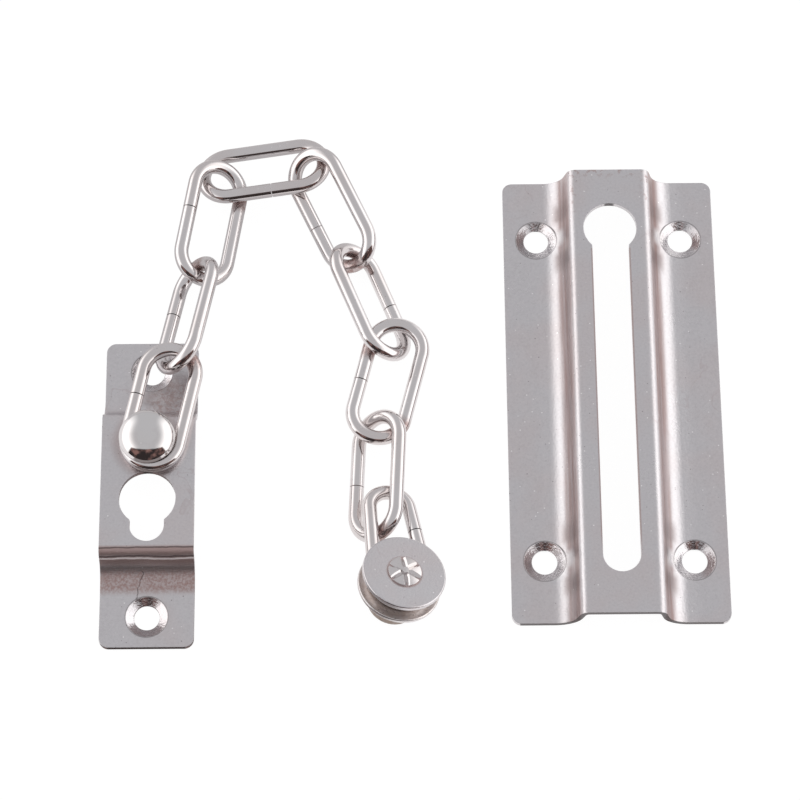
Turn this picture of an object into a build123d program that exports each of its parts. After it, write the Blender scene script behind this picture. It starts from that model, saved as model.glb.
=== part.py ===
from build123d import *
import os
from math import asin, atan2, cos, degrees, hypot, radians, sin, tan

os.makedirs("parts", exist_ok=True)

# Stock: pressed sheet and round wire
sheet = 1.2
wire = 3.0
play = 0.3
lean = 75.0
foot_bend = 4.5
crest_bend = 2.0
corner_round = 2.0

# Countersunk screw holes in both plates
screw_hole = 5.3
screw_sink = 8.8
screw_land = 0.4

# Keeper plate, a channel with two flanges and a keyhole slot along its top
keeper_length = 100.0
keeper_width = 45.0
keeper_height = 8.0
keeper_crest = 16.0
keeper_screws_x = 31.0
keeper_screws_y = 73.0
keeper_y = 20.7
plates_apart = 65.1
entry_from_end = 13.7
slot_from_end = 8.8

# Anchor plate, a strip with a raised middle, its back on the ground at the origin
anchor_length = 67.4
anchor_width = 19.4
anchor_height = 7.0
anchor_crest = 30.0
anchor_screws_y = 54.3
park_y = -3.4
park_slot = 5.8
rivet_y = 8.7

# Rivet through the raised middle
rivet_shoulder = 5.4
rivet_tenon = 4.0
rivet_dome = 11.6
dome_rim = 0.5
dome_rise = 4.6
tail_head = 7.0
tail_rise = 1.0

# Chain links, oval loops of wire with a butt seam in one leg
link_inside_length = 23.2
link_inside_width = 8.0
seam_gap = 0.2
seam_shift = 1.5

# Shackle, a pear-shaped loop of the same wire round the stud
shackle_near = 4.2
shackle_span = 17.3
shackle_seam = 6.0

# Button: the stud's groove, flange, neck and head below, the disc above
groove_shank = 7.4
button_flange = 17.2
flange_thick = 1.0
neck = 6.6
neck_length = 3.4
head = 10.3
head_thick = 3.0
head_round = 0.7
disc_thick = 1.2
disc_round = 0.3
stud_tenon = 4.6
star = 6.9
star_edge = 0.4
star_rise = 0.5
star_cuts = 6
star_cut_width = 0.9

# Fits that follow from the pieces they join
keeper_x = anchor_width / 2 + plates_apart + keeper_width / 2
entry_ease = 1.0
slot_ease = 1.2
park_ease = 1.4
lobe_ease = 0.5
entry = head + entry_ease
keeper_slot = neck + slot_ease
park_hole = head + park_ease
park_width = neck + lobe_ease
fit = 0.05

# The chain's lie: heading, dip, lift of the left leg in wires, direction in which the next link is pulled,
# slack as a share of the reach, height over the ground in wires, side of the seam
first_link = (78, 1)
lie = [
    (79, -10, -2.83, 73, 0.10, 0.10, 1),
    (80, 1, 1.855, 76, 0.00, 0.40, 1),
    (5, 7, -0.787, 60, 0.40, 0.70, -1),
    (-64, -8, 2.342, -44, 0.30, 0.23, -1),
    (-68, 0, -2.518, -75, 0.05, 0.00, 1),
    (-104.4, 0.8, -0.31, -54.3, 0.41, 0.95, -1),
    (-92.8, -0.3, 2.36, -90.3, 0.173, 0.00, -1),
]
shackle_lie = (-82.3, 12.9, -15.2, -7.4, 0.625, 1)


def pressed_strip(length, crest, height):
    # Middle of the sheet across a raised channel, from edge to edge
    low = sheet / 2
    high = height - sheet / 2
    top = crest / 2
    foot = top + (high - low) / tan(radians(lean))
    corners = [(-length / 2, low), (-foot, low), (-top, high), (top, high), (foot, low), (length / 2, low)]
    at_foot = foot_bend + sheet / 2
    at_crest = crest_bend - sheet / 2
    line = FilletPolyline(*corners, radius=[at_foot, at_crest, at_crest, at_foot])
    return trace(line, line_width=sheet)


def screw_cut(height):
    # Countersink through the sheet, open above so that it also bites into a bend beside it
    through = Cylinder(screw_hole / 2, 4 * sheet)
    sink = Cone(screw_hole / 2, screw_sink / 2, sheet - screw_land, align=(Align.CENTER, Align.CENTER, Align.MIN))
    above = Cylinder(screw_sink / 2, height, align=(Align.CENTER, Align.CENTER, Align.MIN))
    return through + Pos(0, 0, screw_land) * sink + Pos(0, 0, sheet) * above


def keyhole_cut(hole, width, hole_y, end_y, height):
    # Round entry with a narrower slot running away from it
    middle = (hole_y + end_y) / 2
    slot = Pos(0, middle) * SlotCenterToCenter(abs(hole_y - end_y), width, rotation=90)
    outline = Pos(0, hole_y) * Circle(hole / 2) + slot
    return Pos(0, 0, height - 2 * sheet) * extrude(outline, 4 * sheet)


def make_keeper():
    section = Plane.XZ * pressed_strip(keeper_width, keeper_crest, keeper_height)
    plate = extrude(section, keeper_length / 2, both=True)
    plate = fillet(plate.edges().filter_by(Axis.Z), corner_round)
    for x in (-keeper_screws_x / 2, keeper_screws_x / 2):
        for y in (-keeper_screws_y / 2, keeper_screws_y / 2):
            plate -= Pos(x, y, 0) * screw_cut(keeper_height)
    entry_y = keeper_length / 2 - entry_from_end
    slot_y = -keeper_length / 2 + slot_from_end + keeper_slot / 2
    plate -= keyhole_cut(entry, keeper_slot, entry_y, slot_y, keeper_height)
    return Pos(keeper_x, keeper_y, 0) * plate


def make_anchor():
    section = Plane.YZ * pressed_strip(anchor_length, anchor_crest, anchor_height)
    plate = extrude(section, anchor_width / 2, both=True)
    plate = fillet(plate.edges().filter_by(Axis.Z), corner_round)
    for y in (-anchor_screws_y / 2, anchor_screws_y / 2):
        plate -= Pos(0, y, 0) * screw_cut(anchor_height)
    plate -= keyhole_cut(park_hole, park_width, park_y, park_y - park_slot, anchor_height)
    plate -= Pos(0, rivet_y, anchor_height) * Cylinder(rivet_tenon / 2 + fit, 4 * sheet)
    return plate


def make_rivet():
    # Turned section: domed head, shoulder that the first link swings on, tenon and upset tail
    back = anchor_height - sheet
    base = anchor_height + wire + 2 * play
    rim = base + dome_rim
    top = rim + dome_rise
    tail = back - tail_rise
    outline = [
        TangentArc((0, top), (rivet_dome / 2, rim), tangent=(1, 0)),
        Polyline(
            (rivet_dome / 2, rim),
            (rivet_dome / 2, base),
            (rivet_shoulder / 2, base),
            (rivet_shoulder / 2, anchor_height),
            (rivet_tenon / 2, anchor_height),
            (rivet_tenon / 2, back),
            (tail_head / 2, back),
        ),
        TangentArc((0, tail), (tail_head / 2, back), tangent=(1, 0)),
        Line((0, tail), (0, top)),
    ]
    section = Plane.XZ * make_face(Curve() + outline)
    return Pos(0, rivet_y, 0) * revolve(section, Axis.Z)


def wire_loop(near, far, span, seam, side):
    # Wire bent round two centres on the X axis, the near one at the origin, its ends met in one leg
    turn = asin((far - near) / span)
    leg_near = Vector(-near * sin(turn), near * cos(turn))
    leg_far = Vector(span - far * sin(turn), far * cos(turn))
    along = (leg_far - leg_near).normalized()
    start = leg_near + along * (seam + seam_gap / 2)
    end = leg_near + along * (seam - seam_gap / 2)
    under_far = Vector(leg_far.X, -leg_far.Y)
    under_near = Vector(leg_near.X, -leg_near.Y)
    path = Curve() + [
        Line(start, leg_far),
        ThreePointArc(leg_far, (span + far, 0), under_far),
        Line(under_far, under_near),
        ThreePointArc(under_near, (-near, 0), leg_near),
        Line(leg_near, end),
    ]
    section = Plane(origin=start, z_dir=along) * Circle(wire / 2)
    loop = sweep(section, path=path)
    return loop if side > 0 else Rot(180, 0, 0) * loop


# Sizes of the loops between the middles of their wires
link_bend = (link_inside_width + wire) / 2
link_span = link_inside_length - link_inside_width
reach = link_inside_width - play
shackle_far = groove_shank / 2 + wire / 2 + play
groove = wire + 2 * play
head_under_groove = groove / 2 + flange_thick + neck_length + head_thick


def turned(heading, dip, roll):
    return Rot(0, 0, heading) * Rot(0, -dip, 0) * Rot(roll, 0, 0)


def chain_frames():
    # One frame a loop, at the middle of its near bend, X along the loop and Y towards its left leg
    heading, side = first_link
    swing = (link_inside_width - rivet_shoulder) / 2 - play
    where = Vector(swing, rivet_y, anchor_height + play + wire / 2)
    frames = [(Pos(where) * turned(heading, 0, 0), side)]
    far = where + Vector(link_span, 0).rotate(Axis.Z, heading)
    for heading, dip, lift, pull, slack, rise, side in lie:
        roll = degrees(asin(lift * wire / (2 * link_bend)))
        slope = sin(radians(dip))
        tilt = cos(radians(dip)) * sin(radians(roll))
        low = wire / 2 + link_span / 2 * abs(slope) + link_bend * hypot(slope, tilt)
        step = reach * (1 - slack)
        level = low + rise * wire - link_span / 2 * slope
        near = Vector(far.X + step * cos(radians(pull)), far.Y + step * sin(radians(pull)), level)
        frame = Pos(near) * turned(heading, dip, roll)
        frames.append((frame, side))
        far = (frame * Pos(link_span, 0, 0)).position
    heading, dip, roll, pull, slack, side = shackle_lie
    upright = cos(radians(dip)) * cos(radians(roll))
    stud = head / 2 * (1 - upright ** 2) ** 0.5 + head_under_groove * upright
    step = reach * (1 - slack)
    level = stud - shackle_span * sin(radians(dip))
    near = Vector(far.X + step * cos(radians(pull)), far.Y + step * sin(radians(pull)), level)
    frames.append((Pos(near) * turned(heading, dip, roll), side))
    return frames


def make_stud():
    # Turned section, its zero in the middle of the groove
    floor = -groove / 2
    flange = floor - flange_thick
    under = flange - neck_length
    foot = under - head_thick
    seat = groove / 2
    crown = seat + disc_thick
    edge = crown + star_edge
    top = edge + star_rise
    outline = [
        FilletPolyline(
            (0, foot),
            (head / 2, foot),
            (head / 2, under),
            (neck / 2, under),
            (neck / 2, flange),
            (button_flange / 2, flange),
            (button_flange / 2, floor),
            (groove_shank / 2, floor),
            (groove_shank / 2, seat),
            (stud_tenon / 2, seat),
            (stud_tenon / 2, crown),
            (star / 2, crown),
            (star / 2, edge),
            radius=[head_round, head_round, 0, 0, disc_round, disc_round, 0, 0, 0, 0, 0],
        ),
        TangentArc((0, top), (star / 2, edge), tangent=(1, 0)),
        Line((0, top), (0, foot)),
    ]
    stud = revolve(Plane.XZ * make_face(Curve() + outline), Axis.Z)
    crease = Rectangle(star_cut_width, star_cut_width, rotation=45)
    for number in range(star_cuts):
        spoke = extrude(Plane.YZ * crease, star)
        spoke = Pos(star / 10, 0, top) * Rot(0, degrees(atan2(star_rise, star / 2)), 0) * spoke
        stud -= Rot(0, 0, 360 * number / star_cuts) * spoke
    return stud


def make_disc():
    low = groove / 2
    disc = Pos(0, 0, low) * Cylinder(button_flange / 2, disc_thick, align=(Align.CENTER, Align.CENTER, Align.MIN))
    disc = fillet(disc.edges().filter_by(GeomType.CIRCLE), disc_round)
    return disc - Cylinder(stud_tenon / 2 + fit, 4 * groove)


frames = chain_frames()
parts = {
    "keeper_plate": make_keeper(),
    "anchor_plate": make_anchor(),
    "anchor_rivet": make_rivet(),
}
for number, (frame, side) in enumerate(frames[:-1], 1):
    seam = link_span / 2 + seam_shift
    parts[f"chain_link_{number}"] = frame * wire_loop(link_bend, link_bend, link_span, seam, side)
end_frame, end_side = frames[-1]
stud_frame = end_frame * Pos(shackle_span, 0, 0)
parts["end_shackle"] = end_frame * wire_loop(shackle_near, shackle_far, shackle_span, shackle_seam, end_side)
parts["button_stud"] = stud_frame * make_stud()
parts["button_disc"] = stud_frame * make_disc()

for name, piece in parts.items():
    piece.label = name
    export_step(piece, f"parts/{name}.step")
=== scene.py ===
import bpy
from math import cos, hypot, radians, sin
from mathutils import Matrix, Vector

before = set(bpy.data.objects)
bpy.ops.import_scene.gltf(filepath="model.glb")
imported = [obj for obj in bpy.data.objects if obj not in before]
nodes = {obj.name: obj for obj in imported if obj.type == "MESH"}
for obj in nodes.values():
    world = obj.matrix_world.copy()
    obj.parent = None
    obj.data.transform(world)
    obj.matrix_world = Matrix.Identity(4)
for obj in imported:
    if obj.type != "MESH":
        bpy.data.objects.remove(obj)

scene = bpy.context.scene
mm = 0.001
perMetre = 1000.0
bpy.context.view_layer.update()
print("frame loaded", len(nodes), "nodes")


class Sock:
    # wraps an output socket, so shader maths reads as arithmetic
    def __init__(self, tree, socket):
        self.tree = tree
        self.socket = socket

    def math(self, operation, a, b=None):
        node = self.tree.nodes.new("ShaderNodeMath")
        node.operation = operation
        for slot, value in zip(node.inputs, (a, b)):
            plug(self.tree, slot, value)
        return Sock(self.tree, node.outputs[0])

    def __add__(self, other):
        return self.math("ADD", self, other)

    def __radd__(self, other):
        return self.math("ADD", other, self)

    def __sub__(self, other):
        return self.math("SUBTRACT", self, other)

    def __rsub__(self, other):
        return self.math("SUBTRACT", other, self)

    def __mul__(self, other):
        return self.math("MULTIPLY", self, other)

    def __rmul__(self, other):
        return self.math("MULTIPLY", other, self)

    def __pow__(self, other):
        return self.math("POWER", self, other)

    def __rpow__(self, other):
        return self.math("POWER", other, self)

    def __gt__(self, other):
        return self.math("GREATER_THAN", self, other)

    def __lt__(self, other):
        return self.math("LESS_THAN", self, other)

    def __neg__(self):
        return self.math("MULTIPLY", self, -1.0)

    def __abs__(self):
        return self.math("ABSOLUTE", self)

    def max(self, other):
        return self.math("MAXIMUM", self, other)

    def min(self, other):
        return self.math("MINIMUM", self, other)


def plug(tree, slot, value):
    if value is None:
        return
    if isinstance(value, Sock):
        tree.links.new(value.socket, slot)
    else:
        slot.default_value = value


def rgb(r, g, b):
    return (r, g, b, 1.0)


class Shader:
    # one node tree, with one method that makes any node
    def __init__(self, tree):
        self.tree = tree
        tree.nodes.clear()

    def node(self, kind, settings=None, out=0, **values):
        # inputs go by name, with _ for a space, or by number as i0, i1
        made = self.tree.nodes.new("ShaderNode" + kind)
        for name, value in (settings or {}).items():
            setattr(made, name, value)
        for name, value in values.items():
            numbered = name[0] == "i" and name[1:].isdigit()
            key = int(name[1:]) if numbered else name.replace("_", " ")
            plug(self.tree, made.inputs[key], value)
        return Sock(self.tree, made.outputs[out]) if made.outputs else made

    def outputs(self, made, *names):
        return [Sock(self.tree, made.socket.node.outputs[name]) for name in names]

    def split(self, vector):
        return self.outputs(self.node("SeparateXYZ", Vector=vector), "X", "Y", "Z")

    def mix(self, factor, a, b):
        return self.node("Mix", {"data_type": "RGBA"}, 2, i0=factor, i6=a, i7=b)

    def smooth(self, value, low, high):
        ease = {"interpolation_type": "SMOOTHSTEP"}
        return self.node("MapRange", ease, i0=value, i1=low, i2=high, i3=0.0, i4=1.0)

    def fade(self, value, low, high):
        return 1.0 - self.smooth(value, low, high)

    def band(self, value, rise, fall):
        return self.smooth(value, *rise) * self.fade(value, *fall)

    def noise(self, place, scale, detail=2.0, roughness=0.5, distortion=0.0):
        return self.node(
            "TexNoise", Vector=place, Scale=scale, Detail=detail, Roughness=roughness, Distortion=distortion,
        )

    def mottle(self, place, scale, detail, roughness, low, high):
        return self.smooth(self.noise(place, scale, detail, roughness), low, high)

    def shift(self, place, by):
        return self.node("VectorMath", {"operation": "ADD"}, i0=place, i1=by)

    def measure(self, operation, a, b=None):
        # vector maths that gives a number
        return self.node("VectorMath", {"operation": operation}, 1, i0=a, i1=b)

    def away(self, x, y, spot, squash=1.0):
        # distance from a spot in the plane of the sheet
        dx, dy = x - spot[0], y - spot[1]
        return (dx * dx + dy * dy * squash) ** 0.5

    def dots(self, place, scale, radius, share, core=0.5):
        # sparse round dots: a share of the cells have one, radius in cells
        cell = self.node("TexVoronoi", Vector=place, Scale=scale)
        colour = self.outputs(cell, "Color")[0]
        pick = self.outputs(self.node("SeparateColor", Color=colour), "Red")[0]
        return self.fade(cell, core * radius, radius) * (pick < share)

    def sinks(self, x, y, centres):
        # for each countersink a steeper flank, as a height in mm, a thin painted shade line at the rim and
        # the flank's mask
        hole, rim, thin = sinkLook["hole"], sinkLook["rim"], sinkLook["line"]
        height, line, flank = 0.0, 0.0, 0.0
        for centre in centres:
            away = self.away(x, y, centre)
            height = height + (away.max(hole).min(rim) - rim)
            line = line + self.fade(abs(away - rim), *thin)
            flank = flank + (away < rim)
        return height * sinkLook["steeper"], line * sinkLook["dark"], flank

    def frontward(self):
        # end faces turned to the front, and the wall of a bend there: the masks for painted dark reflection
        normal = self.outputs(self.node("NewGeometry"), "Normal")[0]
        front = -self.split(normal)[1]
        return self.smooth(front, *frontLook["end"]), self.smooth(front, *frontLook["wall"])

    def stroke(self, x, y, ends, width, wobble, core=0.4):
        # thin wavering line between two points, in the plane of the sheet
        (x0, y0), (x1, y1) = ends
        length = hypot(x1 - x0, y1 - y0)
        ux, uy = (x1 - x0) / length, (y1 - y0) / length
        along = (x - x0) * ux + (y - y0) * uy
        across = abs((x - x0) * -uy + (y - y0) * ux + wobble)
        inside = (along > 0.0) * (along < length)
        return self.fade(across, core * width, width) * inside


# finishes: colours, roughness, edge rounding in mm, heights in mm and how strongly each is marked
# this brown is real tarnish and soil, and also the colour of painted shade and painted dark reflection
tarnish = (0.37, 0.24, 0.22)
sheetFinish = {
    "colour": (0.66, 0.645, 0.66), "tint": (0.66, 0.615, 0.62), "soilAndShade": tarnish,
    "roughness": 0.29, "edge": 0.15, "grain": 0.05, "wave": 0.12,
    "speck": 0.6, "glint": 0.9, "stain": 0.4, "scratch": 0.2,
}
wireFinish = {
    "colour": (0.72, 0.695, 0.695), "tint": (0.70, 0.655, 0.645), "soilAndShade": tarnish,
    "roughness": 0.10, "edge": 0.0, "grain": 0.003, "wave": 0.02,
    "speck": 0.35, "glint": 0.4, "stain": 0.25, "scratch": 0.35,
}
domeFinish = {
    "colour": (0.73, 0.715, 0.715), "tint": (0.72, 0.69, 0.68), "soilAndShade": tarnish,
    "roughness": 0.05, "edge": 0.0, "grain": 0.0004, "wave": 0.0,
    "speck": 0.15, "glint": 0.5, "stain": 0.1, "scratch": 0.2,
}
discFinish = dict(sheetFinish, roughness=0.22, edge=0.0, grain=0.02, stain=0.25, wave=0.05)
buttonFinish = dict(wireFinish, roughness=0.13, edge=0.10, speck=0.8, stain=0.5, soilAndShade=(0.50, 0.36, 0.26))

# what all the nickel shares: noises as scale per mm, detail and more, with mottles ending in two thresholds,
# dots as scale, radius and share, and where each pattern is moved to
pattern = {
    "cloud": (0.07, 3.0), "grain": (2.0, 2.0, 0.6), "wave": (0.10, 1.0), "contour": (0.085, 3.0, 0.5, 0.8),
    "patch": (0.06, 1.0, 0.5, 0.58, 0.68), "hair": (1.0, 1.0, 0.5, 0.70, 0.74), "line": (0.002, 0.016),
    "tint": (0.40, 0.66), "pale": (0.50, 0.72), "dull": (0.28, 0.50), "mean": 0.5,
    "dirt": (0.42, 0.08, 0.35), "dust": (0.9, 0.13, 0.20), "glint": (0.6, 0.12, 0.5),
    "contourAt": (37.0, 11.0, 5.0), "patchAt": (-9.0, 23.0, 3.0),
    "dustAt": (3.0, 8.0, 1.0), "glintAt": (5.0, 2.0, 7.0),
    "hairTurn": (0.0, 0.0, 0.55), "hairScale": (0.10, 3.0, 3.0),
}
shades = {
    "pale": rgb(0.86, 0.82, 0.82), "dull": rgb(0.40, 0.37, 0.37), "stain": rgb(0.42, 0.31, 0.31),
    "dirt": rgb(0.20, 0.17, 0.18), "glint": rgb(0.97, 0.95, 0.95), "groove": rgb(0.06, 0.05, 0.05),
    "paintedHighlight": rgb(0.95, 0.92, 0.92),
}
mixed = {"tint": 0.8, "grain": 3.0, "stain": 0.5}
rougher = {
    "cloud": 0.10, "scratch": 0.10, "dirt": 0.15, "stain": 0.10,
    "brown": 0.12, "groove": 0.3, "polish": 0.13,
}
deeper = {"dirt": 0.006, "scratch": 0.003, "groove": 0.03}
lessMetal = {"brown": 0.5, "paintedHighlight": 0.7}
smoothest = 0.03


def nickel(name, look, marks):
    material = bpy.data.materials.new(name)
    material.use_nodes = True
    sh = Shader(material.node_tree)
    spot = sh.node("TexCoord", out=3)
    place = sh.node("VectorMath", {"operation": "SCALE"}, Vector=spot, Scale=perMetre)
    cloud = sh.noise(place, *pattern["cloud"])
    grain = sh.noise(place, *pattern["grain"])
    wave = sh.noise(place, *pattern["wave"])
    contour = sh.noise(sh.shift(place, pattern["contourAt"]), *pattern["contour"])
    patch = sh.mottle(sh.shift(place, pattern["patchAt"]), *pattern["patch"])
    stain = sh.fade(abs(contour - pattern["mean"]), *pattern["line"]) * patch * look["stain"]
    dirt = sh.dots(place, *pattern["dirt"]).max(sh.dots(sh.shift(place, pattern["dustAt"]), *pattern["dust"]))
    glint = sh.dots(sh.shift(place, pattern["glintAt"]), *pattern["glint"])
    hair = sh.node("Mapping", Vector=place, Rotation=pattern["hairTurn"], Scale=pattern["hairScale"])
    scratch = sh.mottle(hair, *pattern["hair"]) * look["scratch"]

    made = marks(sh, place)
    brown, groove, paintedHighlight = made["brown"], made.get("groove", 0.0), made.get("paintedHighlight", 0.0)
    polish, extra = made.get("polish", 0.0), made.get("extra", 0.0)
    speckle = look["grain"] * mixed["grain"]
    tinted = sh.smooth(cloud, *pattern["tint"]) * mixed["tint"]
    base = sh.mix(tinted, rgb(*look["colour"]), rgb(*look["tint"]))
    base = sh.mix(sh.smooth(grain, *pattern["pale"]) * speckle, base, shades["pale"])
    base = sh.mix(sh.fade(grain, *pattern["dull"]) * speckle, base, shades["dull"])
    base = sh.mix(stain * mixed["stain"], base, shades["stain"])
    base = sh.mix(dirt * look["speck"], base, shades["dirt"])
    base = sh.mix(glint * look["glint"], base, shades["glint"])
    # brown and dark marks hold real tarnish, chips, cracks and pits, and also painted shade and painted dark
    # reflection
    base = sh.mix(brown, base, rgb(*look["soilAndShade"]))
    base = sh.mix(groove, base, shades["groove"])
    # the near-white mark is a painted highlight
    base = sh.mix(paintedHighlight, base, shades["paintedHighlight"])

    rough = look["roughness"] + (cloud - pattern["mean"]) * rougher["cloud"] + scratch * rougher["scratch"]
    rough = rough + dirt * rougher["dirt"] + stain * rougher["stain"]
    rough = rough + brown * rougher["brown"] + groove * rougher["groove"] - polish * rougher["polish"]
    height = grain * look["grain"] + wave * look["wave"] + extra
    height = height - dirt * deeper["dirt"] - scratch * deeper["scratch"] - groove * deeper["groove"]
    metal = 1.0 - (brown * lessMetal["brown"] + paintedHighlight * lessMetal["paintedHighlight"])
    bump = sh.node("Bump", Height=height, Strength=1.0, Distance=mm)
    if look["edge"]:
        rounded = sh.node("Bevel", {"samples": 4}, Radius=look["edge"] * mm)
        plug(sh.tree, bump.socket.node.inputs["Normal"], rounded)
    shader = sh.node(
        "BsdfPrincipled", Base_Color=base, Metallic=metal, Roughness=rough.max(smoothest), Normal=bump,
    )
    sh.node("OutputMaterial", Surface=shader)
    return material


def finish(names, material):
    for name in names:
        piece = nodes[name]
        piece.data.materials.clear()
        piece.data.materials.append(material)


# countersinks of both plates, in mm: they look deeper than the sheet lets them be, with a painted shade line
# on each rim
sinkLook = {"hole": 2.65, "rim": 4.4, "line": (0.06, 0.16), "steeper": 0.20, "dark": 0.45}

# how squarely a face looks to the front to count as an end or as a wall
frontLook = {"end": (0.975, 0.995), "wall": (0.70, 0.96)}

# keeper, in mm from its middle or the crest's edge, with the holes and the crack in the frame:
# painted dark reflection in brown on the walls, painted shade in brown at the slot edges, chips at the top
# end, a soft bank at the walls' feet, painted shade and a painted highlight beside the holes and a crack in
# one countersink
keeperWear = {
    "middle": (97.3, 20.7), "crest": 8.0, "bank": (2.5, 9.0), "rise": 0.8,
    "chipEnd": (36.0, 50.0), "chipRim": (47.5, 50.0), "chipEdge": (0.2, 1.8), "chipHeight": (5.5, 7.5),
    "wallRise": (0.4, 0.9), "wallFall": (1.8, 4.0), "wallHeight": (1.6, 2.4), "streak": (1.0, 0.06, 1.0),
    "slot": 3.95, "slotShade": (0.10, 0.35), "lipStart": (-38.0, -32.0), "lipEnd": 31.5,
    "beside": 36.5, "shadeAlong": ((2.6, 4.6), (6.0, 9.5)), "shadeAcross": ((0.5, 1.2), (2.4, 4.4)),
    "flashAlong": (0.4, 2.6), "flashAt": 2.8, "flashAcross": (0.3, 1.7),
    "holes": [(81.8, -15.8), (81.8, 57.2), (112.8, -15.8), (112.8, 57.2)],
    "crack": ((82.9, 61.3), (82.1, 59.6)), "crackWidth": 0.14, "crackNoise": (0.8, 2.0), "crackSway": 0.9,
    "chipNoise": (0.9, 4.0, 0.65, 0.53, 0.60), "streakNoise": (0.9, 2.0, 0.5, 0.35, 0.65),
    "rimShare": 0.9, "rimMore": 1.0, "wallShare": 0.38, "wallStreak": 0.37, "wallRight": 0.15,
    "brown": {"chip": 0.6, "slotShade": 0.6, "shade": 0.5},
    "dark": {"crack": 0.7, "ends": 0.8, "shade": 0.25}, "paintedHighlight": 0.6,
}


def keeperMarks(sh, place):
    wear = keeperWear
    x, y, z = sh.split(place)
    along, across = y - wear["middle"][1], abs(x - wear["middle"][0])
    rightHand = x > wear["middle"][0]
    outside = across - wear["crest"]
    onEdge = sh.fade(abs(outside), *wear["chipEdge"]) * sh.smooth(z, *wear["chipHeight"])
    onRim = sh.smooth(along, *wear["chipRim"]) * (across < wear["crest"] + wear["rimMore"])
    chip = sh.mottle(place, *wear["chipNoise"])
    chip = chip * (onEdge * sh.smooth(along, *wear["chipEnd"])).max(onRim * wear["rimShare"])
    streak = sh.mottle(sh.node("Mapping", Vector=place, Scale=wear["streak"]), *wear["streakNoise"])
    # painted dark reflection in brown along both walls beside the crest, streaky and darker on the right
    wall = sh.band(outside, wear["wallRise"], wear["wallFall"]) * sh.smooth(z, *wear["wallHeight"])
    wall = wall * (wear["wallShare"] + streak * wear["wallStreak"] + rightHand * wear["wallRight"])
    bank = sh.fade(outside, *wear["bank"])
    near = abs(abs(along) - wear["beside"])
    # painted shade beside the holes in brown and dark, and a painted highlight in near-white at the holes'
    # height
    shade = sh.band(near, *wear["shadeAlong"]) * sh.band(outside, *wear["shadeAcross"])
    flash = sh.fade(near, *wear["flashAlong"]) * sh.fade(abs(outside - wear["flashAt"]), *wear["flashAcross"])
    # painted shade in brown along the slot's edges
    slotShade = sh.fade(abs(across - wear["slot"]), *wear["slotShade"])
    slotShade = slotShade * sh.smooth(along, *wear["lipStart"]) * (along < wear["lipEnd"])
    # front end faces get painted dark reflection
    ends = sh.frontward()[0]
    depth, line, flank = sh.sinks(x, y, wear["holes"])
    wobble = (sh.noise(place, *wear["crackNoise"]) - pattern["mean"]) * wear["crackSway"]
    crack = sh.stroke(x, y, wear["crack"], wear["crackWidth"], wobble)
    soilAndShade, dark = wear["brown"], wear["dark"]
    brown = (chip * soilAndShade["chip"]).max(wall * (1.0 - flash)).max(slotShade * soilAndShade["slotShade"]).max(shade * soilAndShade["shade"])
    groove = (crack * dark["crack"]).max(line).max(ends * dark["ends"]).max(shade * dark["shade"])
    return {
        "brown": brown, "groove": groove, "extra": depth + bank * wear["rise"],
        "polish": flank, "paintedHighlight": flash * wear["paintedHighlight"],
    }


# anchor, in mm: brown on the bend below the raised middle, tarnish beside the upper hole and a brown ring
# round the rivet, on that bend a painted dark reflection band and painted highlight and dark reflection
# lines, measured downwards in the picture, painted dark reflection on the front walls, and a crack down to
# the lower hole
anchorWear = {
    "rivet": (0.0, 8.7), "rivetRing": (6.2, 8.6), "rivetRingHeight": (5.0, 6.5), "foot": -19.6, "footFade": (1.2, 3.4),
    "tarnish": (4.5, 19.5), "tarnishFade": (3.0, 6.5), "squash": 0.7,
    "bandRise": (-16.5, -15.0), "bandFall": (-14.2, -13.4), "bandHeight": (5.0, 6.0),
    "downwards": (0.925, 0.381), "crease": -12.75, "creaseFade": (0.05, 0.30),
    "darkLines": (0.5, 2.35), "darkLineFade": (0.05, 0.25), "above": 2.0,
    "holes": [(0.0, -27.15), (0.0, 27.15)],
    "crack": ((-0.9, -17.6), (-2.4, -23.6)), "crackWidth": 0.16, "crackNoise": (0.7, 3.0), "crackSway": 1.6,
    "footNoise": (1.9, 3.0, 0.7, 0.38, 0.62), "footShare": 0.50, "footFine": 0.50,
    "tarnishNoise": (1.3, 4.0, 0.7, 0.42, 0.62), "swayNoise": (0.35, 2.0), "sway": 0.5,
    "brown": {"foot": 0.9, "rivetRing": 0.35, "cloudy": 0.6, "wall": 0.7, "band": 0.8},
    "dark": {"crack": 0.6, "ends": 0.8, "darkLine": 0.7}, "paintedHighlight": 0.9,
}


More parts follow.
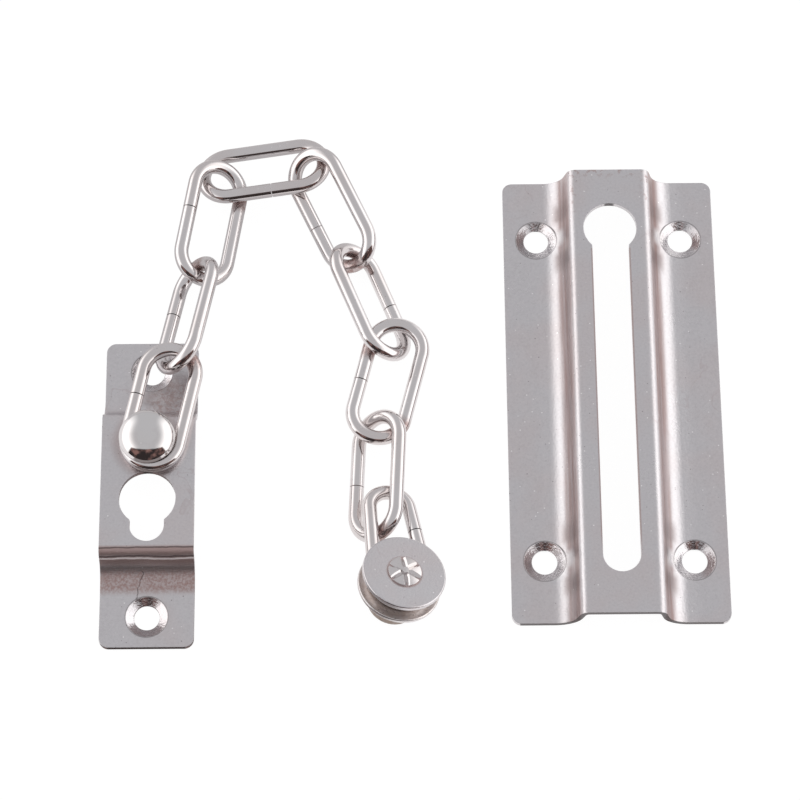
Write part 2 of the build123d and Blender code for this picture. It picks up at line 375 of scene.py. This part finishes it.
def anchorMarks(sh, place):
    wear = anchorWear
    x, y, z = sh.split(place)
    fine = sh.mottle(place, *wear["footNoise"])
    foot = sh.fade(abs(y - wear["foot"]), *wear["footFade"]) * (wear["footShare"] + fine * wear["footFine"])
    rivetRing = sh.fade(sh.away(x, y, wear["rivet"]), *wear["rivetRing"]) * sh.smooth(z, *wear["rivetRingHeight"])
    far = sh.away(x, y, wear["tarnish"], wear["squash"])
    cloudy = sh.fade(far, *wear["tarnishFade"]) * sh.mottle(place, *wear["tarnishNoise"])
    # painted dark reflection band in brown on the crest bend
    band = sh.band(y, wear["bandRise"], wear["bandFall"]) * sh.smooth(z, *wear["bandHeight"])
    # front end faces and front walls get painted dark reflection, dark and brown
    ends, wall = sh.frontward()
    sway = (sh.noise(place, *wear["swayNoise"]) - pattern["mean"]) * wear["sway"]
    byY, byZ = wear["downwards"]
    # along that bend a painted highlight line at the crease and painted dark reflection lines beside it
    down = y * byY + z * byZ - wear["crease"] + sway
    raised = z > wear["above"]
    crease = sh.fade(abs(down), *wear["creaseFade"]) * raised
    lower, upper = [sh.fade(abs(down - at), *wear["darkLineFade"]) for at in wear["darkLines"]]
    darkLine = lower.max(upper) * raised
    depth, line, flank = sh.sinks(x, y, wear["holes"])
    wobble = (sh.noise(place, *wear["crackNoise"]) - pattern["mean"]) * wear["crackSway"]
    crack = sh.stroke(x, y, wear["crack"], wear["crackWidth"], wobble)
    soilAndShade, dark = wear["brown"], wear["dark"]
    brown = (foot * soilAndShade["foot"]).max(rivetRing * soilAndShade["rivetRing"]).max(cloudy * soilAndShade["cloudy"])
    brown = brown.max(wall * soilAndShade["wall"]).max(band * soilAndShade["band"])
    groove = (crack * dark["crack"]).max(line).max(ends * dark["ends"]).max(darkLine * dark["darkLine"])
    return {"brown": brown, "groove": groove, "extra": depth, "polish": flank, "paintedHighlight": crease * wear["paintedHighlight"]}


# button, in mm along its axis or out from it, with its middle in the frame:
# the groove for the shackle is brown and speckled, and so is the head below: painted shade in these recesses,
# with dark pits
buttonWear = {
    "middle": (52.165, -22.832, 10.402), "axis": (0.230959, 0.248627, 0.940661),
    "groove": (1.75, 1.9), "head": (-6.4, -5.6), "star": (3.45, 4.0),
    "pits": (1.3, 0.22, 0.5), "pitsAt": (1.0, 4.0, 2.0), "noise": (0.9, 4.0, 0.7, 0.35, 0.65), "matt": -1.6,
    "grooveBrown": (0.25, 0.35), "headBrown": (0.5, 0.4),
    "grooveDark": 0.7, "headDark": (0.45, 0.3), "starShadow": 0.7,
}


def fromButton(sh, place):
    away = sh.shift(place, tuple(-c for c in buttonWear["middle"]))
    return away, sh.measure("DOT_PRODUCT", away, buttonWear["axis"])


def buttonMarks(sh, place):
    wear = buttonWear
    along = fromButton(sh, place)[1]
    inside = sh.fade(abs(along), *wear["groove"])
    under = sh.fade(along, *wear["head"])
    mottle = sh.mottle(place, *wear["noise"])
    pits = sh.dots(sh.shift(place, wear["pitsAt"]), *wear["pits"])
    least, more = wear["grooveBrown"]
    headLeast, headMore = wear["headBrown"]
    darkLeast, darkMore = wear["headDark"]
    # painted shade in brown in the groove and on the head below, with dark pits
    brown = (inside * (least + mottle * more)).max(under * (headLeast + mottle * headMore))
    groove = (inside * pits * wear["grooveDark"]).max(under * (darkLeast + pits * darkMore))
    return {"brown": brown, "groove": groove, "polish": inside * wear["matt"]}


def discMarks(sh, place):
    # painted shadow in brown round the raised star
    away, along = fromButton(sh, place)
    radius = sh.measure("LENGTH", away)
    aside = (radius * radius - along * along).max(0.0) ** 0.5
    return {"brown": sh.fade(aside, *buttonWear["star"]) * buttonWear["starShadow"]}


# wires, in mm: brown where one loop rubs on the next, soil with painted shade where the loops meet
wireWear = {
    "contacts": [
        (8.7, 26.7, 8.8), (9.9, 50.2, 5.0), (18.2, 66.2, 3.0),
        (36.3, 73.3, 7.4), (42.9, 50.3, 4.3), (45.9, 30.4, 5.3),
        (51.9, 12.1, 4.7), (48.3, -11.0, 6.3),
    ],
    "soilAndShade": (1.8, 3.8), "noise": (1.1, 3.0, 0.6, 0.35, 0.65), "least": 0.45, "more": 0.45,
}


def wireMarks(sh, place):
    # soil and painted shade round each contact
    soilAndShade = 0.0
    for contact in wireWear["contacts"]:
        soilAndShade = sh.fade(sh.measure("DISTANCE", place, contact), *wireWear["soilAndShade"]).max(soilAndShade)
    mottle = sh.mottle(place, *wireWear["noise"])
    return {"brown": soilAndShade * (wireWear["least"] + mottle * wireWear["more"])}


# dome: shaded flatter than it stands, as the photograph's reflections have it
domeWear = {"flatter": -0.28}


def domeMarks(sh, place):
    return {"brown": 0.0, "extra": sh.split(place)[2] * domeWear["flatter"]}


links = [f"chain_link_{k}" for k in range(1, 9)]
finish(["keeper_plate"], nickel("keeperNickel", sheetFinish, keeperMarks))
finish(["anchor_plate"], nickel("anchorNickel", sheetFinish, anchorMarks))
finish(links + ["end_shackle"], nickel("brightNickel", wireFinish, wireMarks))
finish(["button_stud"], nickel("buttonNickel", buttonFinish, buttonMarks))
finish(["button_disc"], nickel("discNickel", discFinish, discMarks))
finish(["anchor_rivet"], nickel("domeNickel", domeFinish, domeMarks))
print("materials on")

# where the photograph was taken from: the point on the ground in the middle of the picture, and the lens
shot = {
    "target": (52.27 * mm, 20.88 * mm, 0), "azimuth": 0.483, "elevation": 67.63, "distance": 659.4 * mm,
    "lens": 140.69, "sensor": 36.0, "nearest": 0.01,
}
turn, rise = radians(shot["azimuth"]), radians(shot["elevation"])
towards = Vector((sin(turn) * cos(rise), cos(turn) * cos(rise), -sin(rise)))
camera = bpy.data.objects.new("photoCamera", bpy.data.cameras.new("photoCamera"))
scene.collection.objects.link(camera)
camera.data.sensor_width = shot["sensor"]
camera.data.lens = shot["lens"]
camera.data.clip_start = shot["nearest"]
camera.location = Vector(shot["target"]) - towards * shot["distance"]
camera.rotation_mode = "QUATERNION"
camera.rotation_quaternion = towards.to_track_quat("-Z", "Y")
scene.camera = camera

# white ground that keeps a faint shadow; what the metal mirrors of it is dark in front of the rivet,
# grey behind it and white at its sides
ground = {
    "size": 3.0, "paper": (0.88, 0.86, 0.86), "white": 0.88, "level": 1.08, "shine": 0.6,
    "middle": (0.0, 8.7), "turning": (-8.0, 8.0), "spread": 0.8, "beside": (-6.0, 12.0),
    "side": (1.2, 1.18, 1.18), "back": (0.6, 0.59, 0.6), "front": (0.10, 0.068, 0.062),
}
bpy.ops.object.select_all(action="DESELECT")
bpy.ops.mesh.primitive_plane_add(size=ground["size"], location=shot["target"])
floor = bpy.context.object
floor.name = "ground"
paper = bpy.data.materials.new("whiteGround")
paper.use_nodes = True
sh = Shader(paper.node_tree)
seen, through, mirrored = sh.outputs(
    sh.node("LightPath"), "Is Camera Ray", "Is Transmission Ray", "Is Glossy Ray",
)
matt = sh.node("BsdfDiffuse", Color=rgb(*ground["paper"]))
x, y = sh.split(sh.node("NewGeometry"))[:2]
dx, dy = x * perMetre - ground["middle"][0], y * perMetre - ground["middle"][1]
mirror = sh.mix(sh.smooth(dy, *ground["turning"]), rgb(*ground["front"]), rgb(*ground["back"]))
beside = sh.smooth(abs(dx) - ground["spread"] * abs(dy), *ground["beside"])
mirror = sh.mix(beside, mirror, rgb(*ground["side"]))
sheen = sh.mix(mirrored, rgb(1, 1, 1), mirror)
bright = sh.node("Emission", Color=sheen, Strength=ground["level"])
share = seen.max(through) * ground["white"] + mirrored * ground["shine"]
sh.node("OutputMaterial", Surface=sh.node("MixShader", i0=share, i1=matt, i2=bright))
floor.data.materials.append(paper)

# light tent: bright cloth left and right, a greyer roof and back, open and dark towards the photographer
tent = {
    "roof": (0.62, 0.615, 0.63), "side": (1.65, 1.62, 1.61),
    "sideReach": (0.30, 0.80), "sideTop": (0.42, 0.88),
    "skirt": (0.36, 0.26, 0.24), "skirtHeight": 0.03, "skirtFade": (0.02, 0.07), "skirtShare": 0.15,
    "room": (0.04, 0.032, 0.032), "figure": (0.30, 0.17, 0.15), "figureNoise": (2.2, 3.0, 0.5, 0.48, 0.70),
    "reach": 0.5, "height": 1.15, "hem": (0.0, 0.12),
}
world = bpy.data.worlds.new("tent")
world.use_nodes = True
scene.world = world
sh = Shader(world.node_tree)
facing = sh.node("TexCoord", out=0)
x, y, z = sh.split(facing)
side = sh.smooth(abs(x), *tent["sideReach"]) * sh.fade(z, *tent["sideTop"])
cloth = sh.mix(side, rgb(*tent["roof"]), rgb(*tent["side"]))
skirt = sh.fade(abs(z - tent["skirtHeight"]), *tent["skirtFade"])
cloth = sh.mix(skirt * tent["skirtShare"], cloth, rgb(*tent["skirt"]))
figure = sh.mottle(facing, *tent["figureNoise"])
room = sh.mix(figure, rgb(*tent["room"]), rgb(*tent["figure"]))
opening = sh.smooth((-y - tent["reach"] * abs(x)).min(-tent["height"] * y - z), *tent["hem"])
cloth = sh.mix(opening, cloth, room)
seen = sh.outputs(sh.node("LightPath"), "Is Camera Ray")[0]
cloth = sh.mix(seen, cloth, rgb(1, 1, 1))
sh.node("OutputWorld", Surface=sh.node("Background", Color=cloth, Strength=1.0))
print("light and camera set")

scene.view_settings.view_transform = "Standard"
